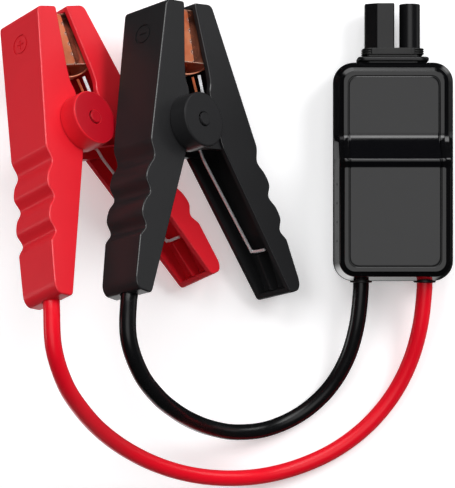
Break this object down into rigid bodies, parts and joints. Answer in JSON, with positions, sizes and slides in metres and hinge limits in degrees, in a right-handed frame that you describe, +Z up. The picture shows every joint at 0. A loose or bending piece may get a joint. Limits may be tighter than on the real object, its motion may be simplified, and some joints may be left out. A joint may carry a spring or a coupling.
{
  "type": "jumper cable lead",
  "caption": "Jumper-cable lead for a portable jump starter: control box with a twin-barrel plug, black and red cables and sprung battery clamps",
  "frame": {"origin": "on the table under the middle of the box that bounds the lead without its two cables", "axes": "+X from the clamps to the control box, +Y the way the plug and the clamp jaws point, +Z up from the table; the lead lies on the table as it is laid out for use"},
  "size_m": [0.167, 0.179, 0.078],
  "materials": {
    "black_plastic": "satin moulded",
    "red_plastic": "satin moulded",
    "gloss_black": "polished",
    "face_panel": "smooth semi-gloss",
    "matte_black": "matte",
    "black_rubber": "matte",
    "copper": "pressed copper plate",
    "contact_brass": "plated",
    "steel": "drawn wire and turned",
    "capacitor_can": "drawn can",
    "circuit_board": "solder mask",
    "red_silicone": "smooth silicone",
    "black_silicone": "smooth silicone"
  },
  "bodies": {
    "root": {"back_cover": "gloss_black", "black_cable": "black_silicone", "black_cable_lug": "copper", "black_fixed_handle": "black_plastic", "black_fixed_jaw": "copper", "black_grommet": "black_rubber", "black_jaw_strap": "copper", "black_lug_rivet": "steel", "black_pivot_cap_back": "black_plastic", "black_pivot_cap_front": "black_plastic", "black_pivot_pin": "steel", "black_spring": "steel", "capacitor": "capacitor_can", "circuit_board": "circuit_board", "controller_chip": "matte_black", "cover_screw_1": "steel", "cover_screw_2": "steel", "cover_screw_3": "steel", "cover_screw_4": "steel", "face_plate": "face_panel", "front_cover": "gloss_black", "plug_body": "gloss_black", "plug_collar": "black_rubber", "plug_contact_left": "contact_brass", "plug_contact_right": "contact_brass", "plug_flange": "gloss_black", "red_cable": "red_silicone", "red_cable_lug": "copper", "red_fixed_handle": "red_plastic", "red_fixed_jaw": "copper", "red_grommet": "black_rubber", "red_jaw_strap": "copper", "red_lug_rivet": "steel", "red_pivot_cap_back": "red_plastic", "red_pivot_cap_front": "red_plastic", "red_pivot_pin": "steel", "red_spring": "steel", "relay_black_side": "matte_black", "relay_red_side": "matte_black"},
    "black_moving_half": {"black_moving_handle": "black_plastic", "black_moving_jaw": "copper"},
    "red_moving_half": {"red_moving_handle": "red_plastic", "red_moving_jaw": "copper"}
  },
  "joints": [
    {"name": "black_clamp_hinge", "type": "hinge", "parent": "root", "child": "black_moving_half", "pos_m": [-0.02092, 0.00839, 0.036], "axis": [-0.7359, -0.1924, -0.6492], "range_deg": [0, 34], "stiffness_Nm_per_rad": 0.5, "springref_deg": -57.3, "deforming": ["black_spring", "black_jaw_strap"]},
    {"name": "red_clamp_hinge", "type": "hinge", "parent": "root", "child": "red_moving_half", "pos_m": [-0.05922, 0.00679, 0.0361], "axis": [-0.7051, -0.331, -0.6271], "range_deg": [0, 34], "stiffness_Nm_per_rad": 0.5, "springref_deg": -57.3, "deforming": ["red_spring", "red_jaw_strap"]}
  ]
}
